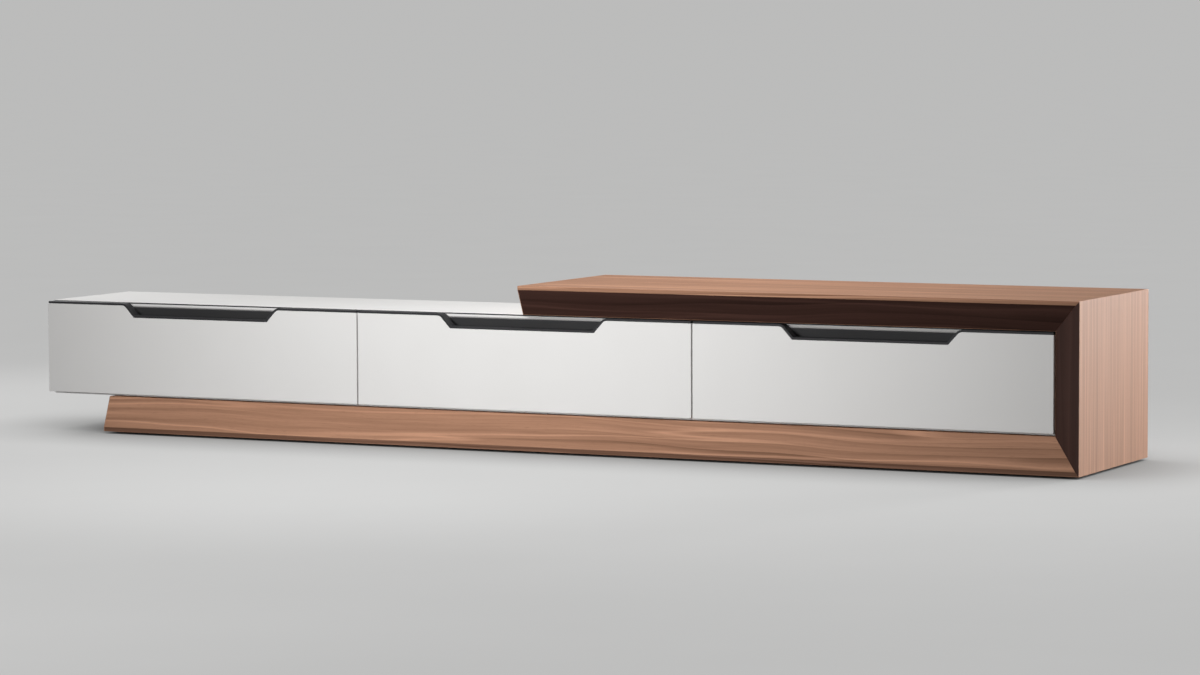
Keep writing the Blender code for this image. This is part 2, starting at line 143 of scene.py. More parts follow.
class Sketch:
    """Adds nodes and links to one node tree."""

    def __init__(self, tree: NodeTree) -> None:
        """Keeps the tree to draw in."""
        self.tree = tree

    def node(self, kind: str, feeds: Feeds | None = None, **settings: object) -> Node:
        """Adds a node.

        Args:
            kind: Blender's name of its type.
            feeds: sockets or values for its inputs, by name or number.
            settings: its own properties.

        Returns:
            The node.
        """
        node = self.tree.nodes.new(kind)
        for key, value in settings.items():
            setattr(node, key, value)
        self.feed(node, feeds or {})
        return node

    def feed(self, node: Node, feeds: Feeds) -> None:
        """Links sockets to a node's inputs, or sets the inputs' values.

        Args:
            node: the node.
            feeds: sockets or values, by the input's name or number.
        """
        for key, value in feeds.items():
            if isinstance(value, NodeSocket):
                self.tree.links.new(value, node.inputs[key])
            else:
                node.inputs[key].default_value = value

    def out(self, kind: str, feeds: Feeds | None = None, **settings: object) -> NodeSocket:
        """Adds a node and gives its first output."""
        return self.node(kind, feeds, **settings).outputs[0]

    def math(self, operation: str, *values: Feed) -> NodeSocket:
        """The result of a sum, by Blender's name of it."""
        return self.out("ShaderNodeMath", dict(enumerate(values)), operation=operation)

    def joined(self, *values: Feed) -> NodeSocket:
        """A vector of up to three values."""
        return self.out("ShaderNodeCombineXYZ", dict(enumerate(values)))

    def scaled(self, vector: Feed, scale: Triple) -> NodeSocket:
        """A vector multiplied by a scale per axis."""
        return self.out("ShaderNodeVectorMath", {0: vector, 1: scale}, operation="MULTIPLY")

    def noise(self, vector: Feed, scale: Feed, detail: float = 2.0, roughness: float = 0.5) -> NodeSocket:
        """Noise of about 0 to 1, with a number of octaves and the strength of the finer ones."""
        feeds = {"Vector": vector, "Scale": scale, "Detail": detail, "Roughness": roughness}
        return self.out("ShaderNodeTexNoise", feeds)

    def repeat(self, vector: Feed, *rate: float) -> NodeSocket:
        """Noise that repeats at a rate per axis."""
        return self.noise(self.scaled(vector, rate), 1.0)

    def spread(self, value: Feed, span: FeedSpan, to: FeedSpan = (0.0, 1.0)) -> NodeSocket:
        """A value mapped from one span to another, clamped."""
        return self.out("ShaderNodeMapRange", dict(enumerate((value, *span, *to))))

    def blend(self, factor: Feed, first: Feed, second: Feed, mode: str = "MIX") -> NodeSocket:
        """A mix of two colours, by Blender's name of the way to mix."""
        feeds = {0: factor, 6: first, 7: second}
        return self.node("ShaderNodeMix", feeds, data_type="RGBA", blend_type=mode).outputs[2]

    def read(self, attribute: str, output: str) -> NodeSocket:
        """One output of an attribute of the piece."""
        return self.node("ShaderNodeAttribute", attribute_name=attribute).outputs[output]

    def object_place(self) -> NodeSocket:
        """The object's coordinates."""
        return self.node("ShaderNodeTexCoord").outputs["Object"]


class Group(Sketch):
    """A node group with named sockets. Its inputs are in given, by label."""

    def __init__(self, name: str, kind: str, takes: dict[str, str], gives: dict[str, str]) -> None:
        """Makes the group.

        Args:
            name: its name.
            kind: Blender's type of its tree.
            takes: socket types of its inputs, by label.
            gives: socket types of its outputs, by label.
        """
        super().__init__(bpy.data.node_groups.new(name, kind))
        for way, labels in (("INPUT", takes), ("OUTPUT", gives)):
            for label, socket in labels.items():
                self.tree.interface.new_socket(label, in_out=way, socket_type=socket)
        source = self.node("NodeGroupInput")
        self.given = {label: source.outputs[label] for label in takes}

    def give(self, **results: Feed) -> NodeTree:
        """Feeds the outputs and hands over the finished tree."""
        self.node("NodeGroupOutput", results)
        return self.tree


def sockets(**labels: str) -> dict[str, str]:
    """Socket types by label, from the labels of each type."""
    return {label: f"NodeSocket{kind}" for kind, names in labels.items() for label in names.split()}


def opaque(colour: Triple) -> tuple[float, float, float, float]:
    """A colour with its alpha, as Blender's sockets take it."""
    return (*colour, 1.0)


# Shared surface effects

SURFACE = sockets(Color="Color", Float="Roughness Height")


@dataclass(frozen=True)
class GrainPattern:
    """How sliced wood is figured. Each rate is repeats per metre along and across the grain."""

    sway: Span = (1.3, 6.0)
    sway_reach: float = 22 * MM
    slant: float = 0.8
    rings: float = 125.0
    ring_drift: Span = (0.6, 14.0)
    ring_shift: float = 3.0
    ring_sharpness: float = 2.0
    ring_strength: Span = (0.9, 26.0)
    strength_span: Span = (0.35, 0.65)
    bands: Span = (0.5, 38.0)
    streaks: Span = (1.6, 230.0)
    veins: Span = (0.7, 48.0)
    vein_reach: float = 0.035
    clouds: Span = (0.6, 9.0)
    fibres: Span = (9.0, 700.0)
    fibre_height: float = 0.4
    gloss_span: Span = (0.25, 0.75)
    pores: Span = (45.0, 2600.0)
    pore_span: Span = (0.60, 0.74)
    pore_share: float = 0.35
    ring_weight: float = -0.42
    band_weight: float = 0.80
    streak_weight: float = 0.60
    vein_weight: float = 0.36
    cloud_weight: float = 0.80
    fibre_weight: float = 0.30
    middle_tone: float = 0.50
    noise_mean: float = 0.5

    @cache
    def group(self) -> NodeTree:
        """Builds the figure: book-matched leaves with growth rings, streaks, fibres and pores.

        Returns:
            The shader group. Its Grain input runs along the grain, across it and through the board.
        """
        takes = sockets(Vector="Grain", Color="Dark Light Pore", Float="Leaf Smooth Rough")
        draw = Group("wood_grain", "ShaderNodeTree", takes, SURFACE)
        given = draw.given
        along, across, through = draw.node("ShaderNodeSeparateXYZ", {0: given["Grain"]}).outputs
        leaf = draw.math("PINGPONG", across, given["Leaf"])
        sway = draw.repeat(draw.joined(along, leaf, through), *self.sway, self.sway[1])
        line = draw.math("MULTIPLY_ADD", through, self.slant, leaf)
        line = draw.math("MULTIPLY_ADD", sway, self.sway_reach, line)
        sliced = draw.joined(along, line)
        rates = (self.ring_drift, self.ring_strength, self.bands, self.streaks,
                 self.veins, self.clouds, self.fibres, self.pores)
        noises = (draw.repeat(sliced, *rate, 1.0) for rate in rates)
        drift, strength, bands, streaks, veins, clouds, fibres, pores = noises
        shift = draw.math("MULTIPLY", drift, self.ring_shift)
        ring = draw.math("FRACT", draw.math("MULTIPLY_ADD", line, self.rings, shift))
        ring = draw.math("POWER", ring, self.ring_sharpness)
        late_wood = draw.math("MULTIPLY", ring, draw.spread(strength, self.strength_span))
        off_vein = draw.math("ABSOLUTE", draw.math("SUBTRACT", veins, self.noise_mean))
        vein = draw.spread(off_vein, (0.0, self.vein_reach), (1.0, 0.0))
        pores = draw.spread(pores, self.pore_span)
        weights = (
            (late_wood, self.ring_weight, self.noise_mean / (self.ring_sharpness + 1)),
            (bands, self.band_weight, self.noise_mean),
            (streaks, self.streak_weight, self.noise_mean),
            (vein, self.vein_weight, 2 * self.vein_reach),
            (clouds, self.cloud_weight, self.noise_mean),
            (fibres, self.fibre_weight, self.noise_mean),
        )
        tone = self.middle_tone - sum(weight * mean for _, weight, mean in weights)
        for value, weight, _ in weights:
            tone = draw.math("MULTIPLY_ADD", value, weight, tone)
        body = draw.blend(draw.spread(tone, (0.0, 1.0)), given["Dark"], given["Light"])
        return draw.give(
            Color=draw.blend(draw.math("MULTIPLY", pores, self.pore_share), body, given["Pore"]),
            Roughness=draw.spread(fibres, self.gloss_span, (given["Smooth"], given["Rough"])),
            Height=draw.math("SUBTRACT", draw.math("MULTIPLY", fibres, self.fibre_height), pores),
        )


@dataclass(frozen=True)
class FineSurface:
    """The fine texture of coated, moulded and rolled surfaces: soft clouds and grit."""

    cloud_scale: float = 5.0
    cloud_detail: float = 3.0
    cloud_share: float = 0.6
    grit_detail: float = 2.0
    grit_roughness: float = 0.55
    grit_share: float = 0.4
    shade_span: Span = (0.3, 0.7)

    @cache
    def group(self) -> NodeTree:
        """Builds the texture.

        Returns:
            The shader group, with a slight drift of colour, of gloss and of height.
        """
        takes = sockets(Vector="Place", Color="Low High", Float="Scale Smooth Rough")
        draw = Group("fine_surface", "ShaderNodeTree", takes, SURFACE)
        given = draw.given
        cloud = draw.noise(given["Place"], self.cloud_scale, self.cloud_detail)
        grit = draw.noise(given["Place"], given["Scale"], self.grit_detail, self.grit_roughness)
        cloud_part = draw.math("MULTIPLY", cloud, self.cloud_share)
        shade = draw.math("ADD", cloud_part, draw.math("MULTIPLY", grit, self.grit_share))
        return draw.give(
            Color=draw.blend(draw.spread(shade, self.shade_span), given["Low"], given["High"]),
            Roughness=draw.spread(shade, self.shade_span, (given["Smooth"], given["Rough"])),
            Height=grit,
        )


# Finishes


@dataclass(frozen=True, kw_only=True)
class BaseFinish:
    """What every finish has: a slot of the record, a span of roughness, relief and gloss."""

    name: str
    slot: Slot
    smooth: float
    rough: float
    relief: float
    relief_height: float
    specular: float = 0.5
    metallic: float = 0.0

    def effect(self, draw: Sketch, group: NodeTree, feeds: Feeds) -> Node:
        """Places a shared effect, with this finish's roughness."""
        feeds = {**feeds, "Smooth": self.smooth, "Rough": self.rough}
        return draw.node("ShaderNodeGroup", feeds, node_tree=group)

    def shade(self, draw: Sketch, effect: Node, colour: NodeSocket) -> None:
        """Feeds the shader.

        Args:
            draw: the material's sketch.
            effect: the shared effect.
            colour: the surface's colour.
        """
        height = effect.outputs["Height"]
        relief = {"Height": height, "Strength": self.relief, "Distance": self.relief_height}
        draw.feed(draw.tree.nodes["Principled BSDF"], {
            "Base Color": colour,
            "Roughness": effect.outputs["Roughness"],
            "Normal": draw.out("ShaderNodeBump", relief),
            "Metallic": self.metallic,
            "Specular IOR Level": self.specular,
        })


@dataclass(frozen=True, kw_only=True)
class WoodFinish(BaseFinish):
    """Veneer or plywood, with its grain along the piece."""

    dark: Triple
    light: Triple
    pore: Triple
    leaf: float
    relief_height: float = 0.2 * MM
    # Multiplies the colour of the marked edge faces: partly a darker veneer, partly painted shade.
    edge_tint_and_painted_shade: Triple = (1.0, 1.0, 1.0)
    ply: float = 0.0
    ply_span: Span = (-0.25, 0.25)
    ply_fibres: Triple = (40.0, 40.0, 900.0)
    ply_share: float = 0.75

    @cache
    def material(self, source: Coordinates = Coordinates.GRAIN) -> Material:
        """Builds the material, once for each source.

        Args:
            source: where the grain's coordinates come from.

        Returns:
            The material.
        """
        material = bpy.data.materials.new(f"{self.name}_{source.name.lower()}")
        material.use_nodes = True
        draw = Sketch(material.node_tree)
        owned = source is Coordinates.GRAIN
        place = draw.read(GRAIN_ATTRIBUTE, "Vector") if owned else draw.object_place()
        colours = {"Dark": opaque(self.dark), "Light": opaque(self.light), "Pore": opaque(self.pore)}
        wood = self.effect(draw, GrainPattern().group(), {"Grain": place, "Leaf": self.leaf, **colours})
        colour = wood.outputs["Color"]
        if self.ply:
            colour = self.plies(draw, place, colour)
        # Marked edge faces are darkened here: partly darker veneer, partly painted shade.
        if min(self.edge_tint_and_painted_shade) < 1.0:
            edge = draw.read(EDGE_ATTRIBUTE, "Fac")
            colour = draw.blend(edge, colour, opaque(self.edge_tint_and_painted_shade), "MULTIPLY")
        self.shade(draw, wood, colour)
        return material

    def plies(self, draw: Sketch, place: NodeSocket, face: NodeSocket) -> NodeSocket:
        """Shows the plies on the edges of a board.

        Args:
            draw: the material's sketch.
            place: the grain's coordinates.
            face: the colour of the faces.

        Returns:
            The colour with the plies' stripes on the edges.
        """
        through = draw.node("ShaderNodeSeparateXYZ", {0: place}).outputs[2]
        turns = draw.math("MULTIPLY", through, math.tau / (2 * self.ply))
        stripe = draw.spread(draw.math("SINE", turns), self.ply_span)
        end_grain = draw.blend(draw.repeat(place, *self.ply_fibres), opaque(self.pore), opaque(self.dark))
        marked = draw.math("MULTIPLY", stripe, draw.read(EDGE_ATTRIBUTE, "Fac"))
        return draw.blend(draw.math("MULTIPLY", marked, self.ply_share), face, end_grain)


@dataclass(frozen=True, kw_only=True)
class CoatFinish(BaseFinish):
    """Lacquer, powder coat, plastic or plated steel, with a fine texture."""

    low: Triple
    high: Triple
    scale: float
    relief_height: float = 0.1 * MM
    stretch: Triple = (1.0, 1.0, 1.0)

    @cache
    def material(self) -> Material:
        """Builds the material, once.

        Returns:
            The material.
        """
        material = bpy.data.materials.new(self.name)
        material.use_nodes = True
        draw = Sketch(material.node_tree)
        place = draw.scaled(draw.object_place(), self.stretch)
        feeds = {"Place": place, "Scale": self.scale, "Low": opaque(self.low), "High": opaque(self.high)}
        surface = self.effect(draw, FineSurface().group(), feeds)
        self.shade(draw, surface, surface.outputs["Color"])
        return material


Finish = WoodFinish | CoatFinish

WALNUT = WoodFinish(
    name="walnut_veneer", slot=Slot.WALNUT, dark=(0.180, 0.090, 0.053), light=(0.60, 0.325, 0.206),
    pore=(0.13, 0.062, 0.038), leaf=206 * MM, smooth=0.52, rough=0.66, specular=0.06, relief=0.25,
)
# Base's front flat darkened: painted shade of a face turned away from the light above, partly read as darker
# veneer.
WALNUT_DARK_AND_SHADED_FLAT = replace(WALNUT, name="walnut_veneer_dark_flat", edge_tint_and_painted_shade=(0.45, 0.44, 0.46))
# Bevels of the top darkened: partly darker veneer, partly painted shade of faces that turn down, away from
# the light.
WALNUT_DARK_AND_SHADED_BEVEL = replace(WALNUT, name="walnut_veneer_dark_bevel", edge_tint_and_painted_shade=(0.124, 0.108, 0.132))
# Side member: calmer figure and more gloss. It keeps the bevel tint on its bevel and flat, which is partly
# darker veneer, partly painted shade.
WALNUT_CALM = replace(
    WALNUT_DARK_AND_SHADED_BEVEL, name="walnut_veneer_calm", dark=(0.262, 0.136, 0.083), light=(0.518, 0.279, 0.177),
    pore=(0.18, 0.09, 0.055), specular=0.14,
)
WALNUT_LIPPING = replace(
    WALNUT, name="walnut_lipping", dark=(0.28, 0.145, 0.09), light=(0.60, 0.345, 0.23),
    pore=(0.18, 0.09, 0.055), leaf=3.0, specular=0.14,
)
BIRCH_PLY = WoodFinish(
    name="birch_ply", slot=Slot.BOX_PLY, dark=(0.56, 0.42, 0.28), light=(0.70, 0.56, 0.40),
    pore=(0.36, 0.235, 0.14), leaf=3.0, smooth=0.40, rough=0.52, specular=0.4, relief=0.12, ply=1.4 * MM,
)
WHITE_LACQUER = CoatFinish(
    name="white_lacquer", slot=Slot.LACQUER, low=(0.785, 0.775, 0.76), high=(0.815, 0.807, 0.795),
    scale=850.0, smooth=0.68, rough=0.78, relief=0.035, specular=0.14,
)
CHARCOAL_COAT = CoatFinish(
    name="charcoal_powder_coat", slot=Slot.CHARCOAL, low=(0.024, 0.024, 0.026), high=(0.040, 0.040, 0.043),
    scale=1500.0, smooth=0.54, rough=0.68, relief=0.22, specular=0.2,
)
# A lighter copy of the charcoal coat for the finger rails. It is lightened to offset the shade in the pull
# recess, so that it matches the lit charcoal cap: painted light.
CHARCOAL_COAT_PAINTED_LIGHT = replace(
    CHARCOAL_COAT, name="charcoal_powder_coat_painted_light", low=(0.078, 0.078, 0.080), high=(0.105, 0.105, 0.108),
    smooth=0.50, rough=0.64, specular=0.3,
)
ZINC_PLATE = CoatFinish(
    name="zinc_plated_steel", slot=Slot.STEEL, low=(0.54, 0.55, 0.57), high=(0.70, 0.70, 0.69),
    scale=420.0, smooth=0.24, rough=0.40, relief=0.06, metallic=1.0, stretch=(1.0, 0.05, 1.0),
)
BALL_STEEL = CoatFinish(
    name="ball_steel", slot=Slot.STEEL, low=(0.66, 0.66, 0.67), high=(0.74, 0.74, 0.745),
    scale=1400.0, smooth=0.12, rough=0.20, relief=0.01, metallic=1.0,
)
GLIDE_PLASTIC = CoatFinish(
    name="glide_plastic", slot=Slot.GLIDE, low=(0.016, 0.016, 0.017), high=(0.030, 0.030, 0.031),
    scale=1200.0, smooth=0.45, rough=0.62, relief=0.15,
)


# Outlines


def rounded_outline(corners: Sequence[Triple]) -> Outline:
    """Rounds the corners of an outline.

    Args:
        corners: its corners in order, as (x, y, radius).

    Returns:
        The outline's points, with arcs at the round corners.
    """
    points = []
    for index, (x, y, radius) in enumerate(corners):
        corner = Vector((x, y))
        if radius == 0:
            points.append((x, y))
            continue
        before = (Vector(corners[index - 1][:2]) - corner).normalized()
        after = (Vector(corners[(index + 1) % len(corners)][:2]) - corner).normalized()
        half = before.angle(after) / 2
        centre = corner + (before + after).normalized() * radius / math.sin(half)
        start = corner + before * radius / math.tan(half) - centre
        stop = corner + after * radius / math.tan(half) - centre
        turn = start.angle_signed(stop)
        steps = max(FEWEST_ARC_STEPS, round(abs(turn) / ARC_STEP))
        arc = (centre + Matrix.Rotation(-turn * step / steps, 2) @ start for step in range(steps + 1))
        points.extend((point.x, point.y) for point in arc)
    return points


def folded_sheet(folds: Outline, radius: float, thickness: float) -> Outline:
    """Outline of a sheet that is folded along a path.

    Args:
        folds: the path's ends and folds.
        radius: radius of each fold on the path.
        thickness: the sheet's, to the left of the path, or to its right where negative.

    Returns:
        The closed outline.
    """
    first, *inner, last = folds
    rounded = rounded_outline([(*first, 0.0), *((*fold, radius) for fold in inner), (*last, 0.0)])
    path = [Vector(point) for point in rounded]
    moved = []
    for index, point in enumerate(path):
        runs = [run for run in (index - 1, index) if 0 <= run < len(path) - 1]
        directions = [(path[run + 1] - path[run]).normalized() for run in runs]
        normals = [Vector((-direction.y, direction.x)) for direction in directions]
        mitre = sum(normals, Vector((0.0, 0.0)))
        moved.append(point + mitre * thickness / mitre.dot(normals[0]))
    return [(point.x, point.y) for point in path + moved[::-1]]


# Shaping pieces


def new_object(name: str, data: bpy.types.ID) -> Object:
    """Adds an object to the scene.

    Args:
        name: its name.
        data: its mesh, light or camera.

    Returns:
        The object.
    """
    item = bpy.data.objects.new(name, data)
    bpy.context.scene.collection.objects.link(item)
    return item


def settled(item: Object) -> Mesh:
    """Takes what an object's modifiers make, and takes the modifiers off.

    Args:
        item: the object.

    Returns:
        The plain mesh.
    """
    graph = bpy.context.evaluated_depsgraph_get()
    mesh = bpy.data.meshes.new_from_object(item.evaluated_get(graph))
    item.modifiers.clear()
    return mesh


def wrap(shape: BMesh, rings: Rings, capped: bool = True) -> list[list]:
    """Adds rings of points to a mesh, and the faces between them.

    Args:
        shape: the mesh.
        rings: the rings in order, with the same number of points.
        capped: whether the first and the last ring are closed with a face.

    Returns:
        The rings' vertices.
    """
    loops = [[shape.verts.new(point) for point in ring] for ring in rings]
    for loop in (loops[0], loops[-1]) if capped else ():
        shape.faces.new(loop)
    for lower, upper in zip(loops, loops[1:]):
        for index in range(len(lower)):
            shape.faces.new((lower[index - 1], lower[index], upper[index], upper[index - 1]))
    return loops


class Blank:
    """One piece while it is shaped: an object at the origin with its place in its mesh."""

    def __init__(self, name: str, shape: BMesh) -> None:
        """Takes over a shape.

        Args:
            name: the piece's name.
            shape: its mesh, which is freed.
        """
        bmesh.ops.recalc_face_normals(shape, faces=shape.faces)
        mesh = bpy.data.meshes.new(name)
        shape.to_mesh(mesh)
        shape.free()
        self.obj = new_object(name, mesh)

    @classmethod
    def loft(cls, name: str, rings: Rings, eased: tuple[bool, bool] = (True, True)) -> "Blank":
        """A closed solid through two rings of points, with a weight on the edges to ease.

        Args:
            name: the piece's name.
            rings: the two end rings, with the same number of points.
            eased: whether the edges of each end are eased too.

        Returns:
            The blank.
        """
        shape = bmesh.new()
        weights = shape.edges.layers.float.new("bevel_weight_edge")
        loops = wrap(shape, rings)
        for edge in shape.edges:
            ends = [all(vertex in loop for vertex in edge.verts) for loop in loops]
            edge[weights] = float(not any(ends) or any(a and b for a, b in zip(ends, eased)))
            edge.smooth = edge[weights] > 0
        return cls(name, shape)

    @classmethod
    def prism(cls, name: str, outline: Outline, axis: Axis, span: Span) -> "Blank":
        """A solid of constant section.

        Args:
            name: the piece's name.
            outline: its section, in the two other axes in their order.
            axis: the axis that it runs along.
            span: where it starts and stops on that axis.

        Returns:
            The blank.
        """
        place = list(Axis).index(axis)
        rings = [[Vector((*point[:place], at, *point[place:])) for point in outline] for at in span]
        return cls.loft(name, rings)

    @classmethod
    def board(cls, name: str, low: Vector, high: Vector) -> "Blank":
        """A board between two corners."""
        outline = [(low.x, low.y), (high.x, low.y), (high.x, high.y), (low.x, high.y)]
        return cls.prism(name, outline, Axis.Z, (low.z, high.z))

    @classmethod
    def lathe(cls, name: str, profile: Outline, centre: Vector, sides: int) -> "Blank":
        """A turned piece about an upright axis.

        Args:
            name: the piece's name.
            profile: (radius, height) from the axis below to the axis above.
            centre: the foot of the axis.
            sides: the number of sides.

        Returns:
            The blank.
        """
        shape = bmesh.new()
        turns = [Matrix.Rotation(math.tau * side / sides, 3, "Z") for side in range(sides)]
        points = [Vector((radius, 0.0, height)) for radius, height in profile]
        rings = [[centre + turn @ point for turn in turns] for point in points[1:-1]]
        loops = wrap(shape, rings, capped=False)
        for loop, point in ((loops[0], points[0]), (loops[-1], points[-1])):
            pole = shape.verts.new(centre + point)
            for side in range(sides):
                shape.faces.new((loop[side - 1], loop[side], pole))
        return cls(name, shape)

    def ease(self, width: float, segments: int = 3, weighted: bool = False) -> "Blank":
        """Rounds the sharp edges.

        Args:
            width: how far the rounding reaches from the edge.
            segments: its number of facets.
            weighted: whether only the edges with a weight are eased.

        Returns:
            The blank.
        """
        self.obj.data.shade_smooth()
        bevel = self.obj.modifiers.new("arris", "BEVEL")
        bevel.width = width
        bevel.segments = segments
        bevel.limit_method = "WEIGHT" if weighted else "ANGLE"
        bevel.angle_limit = SHARP_ANGLE
        bevel.harden_normals = True
        self.obj.data = settled(self.obj)
        return self

    def cut(self, tool: "Blank") -> "Blank":
        """Takes another blank's shape away, and uses that blank up.

        Args:
            tool: the shape to take away.

        Returns:
            The blank.
        """
        boolean = self.obj.modifiers.new("cut", "BOOLEAN")
        boolean.operation = "DIFFERENCE"
        boolean.object = tool.obj
        self.obj.data = settled(self.obj)
        bpy.data.objects.remove(tool.obj, do_unlink=True)
        return self

    def smooth(self) -> "Blank":
        """Shades the round faces smooth and keeps the sharp edges.

        Returns:
            The blank.
        """
        self.obj.data.shade_smooth()
        self.obj.data.set_sharp_from_angle(angle=SHARP_ANGLE)
        return self

    def lay_grain(self, along: Vector, through: Vector, origin: Vector,
                  edge_span: Span = (-0.5, 0.5), front_only: bool = False) -> "Blank":
        """Writes the grain's coordinates to the mesh, and marks the board's edges.

        Args:
            along: direction of the grain.
            through: direction through the board.
            origin: where the coordinates are zero.
            edge_span: how much of an edge's normal points through the board, from and to.
            front_only: whether edges that look to the back are left unmarked.

        Returns:
            The blank.
        """
        mesh = self.obj.data
        across = through.cross(along)
        across = across if max(across) > -min(across) else -across
        grain = mesh.attributes.new(GRAIN_ATTRIBUTE, "FLOAT_VECTOR", "POINT")
        for vertex, value in zip(mesh.vertices, grain.data):
            value.vector = [(vertex.co - origin).dot(way) for way in (along, across, through)]
        edge = mesh.attributes.new(EDGE_ATTRIBUTE, "FLOAT", "FACE")
        for face, value in zip(mesh.polygons, edge.data):
            shows = face.normal.y <= 0 or not front_only
            value.value = float(shows and edge_span[0] < face.normal.dot(through) < edge_span[1])
        return self

    def fit(self, finish: Finish, body: str, *nodes: str) -> None:
        """Dresses the piece and puts it on its body.

        Args:
            finish: the piece's finish.
            body: the frame's body that carries it.
            nodes: the frame's nodes that it stands for.
        """
        self.obj.data.materials.clear()
        self.obj.data.materials.append(finish.material())
        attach(self.obj, body)
        if nodes:
            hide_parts(*nodes)
        LOG.info("%s on %s, %d faces", self.obj.name, body, len(self.obj.data.polygons))


# Rows of small parts, made by geometry nodes


@dataclass(frozen=True)
class Row:
    """Evenly spaced places on a line, and the way that the parts there face."""

    start: Vector
    stop: Vector
    count: int
    facing: Vector

    def mirrored_height(self, middle: float) -> "Row":
        """The same row at the same distance on the other side of a height."""
        ends = [Vector((point.x, point.y, 2 * middle - point.z)) for point in (self.start, self.stop)]
        return Row(*ends, self.count, self.facing)


class RowTree(Group):
    """A geometry node tree that sets a small part in a row."""

    def __init__(self, name: str, **more: str) -> None:
        """Starts the tree, with more sockets by type ahead of the row's own."""
        row = sockets(Vector="Start Stop Facing", Int="Count", Float="Radius", Material="Material")
        super().__init__(name, "GeometryNodeTree", sockets(**more) | row, sockets(Geometry="Geometry"))

    def share(self, share: float) -> NodeSocket:
        """A share of the part's radius."""
        return self.math("MULTIPLY", self.given["Radius"], share)

    def less(self, piece: NodeSocket, tool: NodeSocket) -> NodeSocket:
        """A piece with a tool's shape taken away."""
        return self.out("GeometryNodeMeshBoolean", {0: piece, 1: tool}, operation="DIFFERENCE")

    def copies(self, part: NodeSocket) -> NodeSocket:
        """Sets copies of a part along the row, and makes them real.

        Args:
            part: the part's geometry, with Z as the way that it faces.

        Returns:
            The copies' geometry.
        """
        ends = {0: self.given["Count"], 2: self.given["Start"], 3: self.given["Stop"]}
        line = self.out("GeometryNodeMeshLine", ends, mode="END_POINTS")
        turn = self.out("FunctionNodeAlignRotationToVector", {"Vector": self.given["Facing"]}, axis="Z")
        feeds = {"Points": line, "Instance": part, "Rotation": turn}
        return self.out("GeometryNodeRealizeInstances", {0: self.out("GeometryNodeInstanceOnPoints", feeds)})

    def end(self, made: NodeSocket) -> None:
        """Gives the result its material and closes the tree."""
        feeds = {"Geometry": made, "Material": self.given["Material"]}
        self.give(Geometry=self.out("GeometryNodeSetMaterial", feeds))

    def run(self, row: Row, radius: float, finish: Finish, base: Mesh | None = None) -> Mesh:
        """Runs the tree on one row.

        Args:
            row: the places.
            radius: the part's radius.
            finish: the part's finish.
            base: the mesh that holes are punched in.

        Returns:
            The result as a plain mesh.
        """
        guide = new_object("row_guide", base or bpy.data.meshes.new("row_guide"))
        values = {
            "Start": row.start, "Stop": row.stop, "Count": row.count, "Facing": row.facing,
            "Radius": radius, "Material": finish.material(),
        }
        modifier = guide.modifiers.new("row", "NODES")
        modifier.node_group = self.tree
        for item in self.tree.interface.items_tree:
            if item.in_out == "INPUT" and item.name in values:
                modifier[item.identifier] = values[item.name]
        mesh = settled(guide)
        bpy.data.objects.remove(guide, do_unlink=True)
        return mesh

    def piece(self, name: str, rows: Iterable[Row], radius: float, finish: Finish, body: str) -> None:
        """Makes one piece of several rows of the same part.

        Args:
            name: the piece's name.
            rows: the rows.
            radius: the part's radius.
            finish: the parts' finish.
            body: the frame's body that carries them.
        """
        shape = bmesh.new()
        for row in rows:
            shape.from_mesh(self.run(row, radius, finish))
        Blank(name, shape).smooth().fit(finish, body)


class ScrewRow(RowTree):
    """A row of pan-head screws with a cross recess, sized in shares of the head's radius."""

    HEAD_HEIGHT = 0.44
    HEAD_TOP = 0.70
    RECESS_LENGTH = 1.05
    RECESS_WIDTH = 0.24
    RECESS_DEPTHS = (0.56, 0.50)
    SIDES = 16

    def __init__(self) -> None:
        """Draws the tree."""
        super().__init__("screw_row")
        height = self.share(self.HEAD_HEIGHT)
        feeds = {"Vertices": self.SIDES, "Radius Top": self.share(self.HEAD_TOP), "Depth": height}
        made = self.out("GeometryNodeMeshCone", {"Radius Bottom": self.given["Radius"], **feeds})
        lift = self.joined(0.0, 0.0, height)
        sides = [self.share(self.RECESS_LENGTH), self.share(self.RECESS_WIDTH)]
        for depth in self.RECESS_DEPTHS:
            bar = self.out("GeometryNodeMeshCube", {"Size": self.joined(*sides, self.share(depth))})
            made = self.less(made, self.out("GeometryNodeTransform", {0: bar, "Translation": lift}))
            sides.reverse()
        self.end(self.copies(made))


class BallRow(RowTree):
    """A row of bearing balls."""

    DIVISIONS = 2

    def __init__(self) -> None:
        """Draws the tree."""
        super().__init__("ball_row")
        feeds = {"Radius": self.given["Radius"], "Subdivisions": self.DIVISIONS}
        ball = self.out("GeometryNodeMeshIcoSphere", feeds)
        self.end(self.copies(self.out("GeometryNodeSetShadeSmooth", {0: ball})))


class HoleRow(RowTree):
    """A row of round holes, punched through the piece that the tree is put on."""

    PUNCH_DEPTH = 2.0
    SIDES = 16

    def __init__(self) -> None:
        """Draws the tree."""
        super().__init__("hole_row", Geometry="Piece")
        depth = self.share(self.PUNCH_DEPTH)
        feeds = {"Vertices": self.SIDES, "Radius": self.given["Radius"], "Depth": depth}
        punches = self.copies(self.out("GeometryNodeMeshCylinder", feeds))
        self.end(self.less(self.given["Piece"], punches))


# The console's sub-assemblies


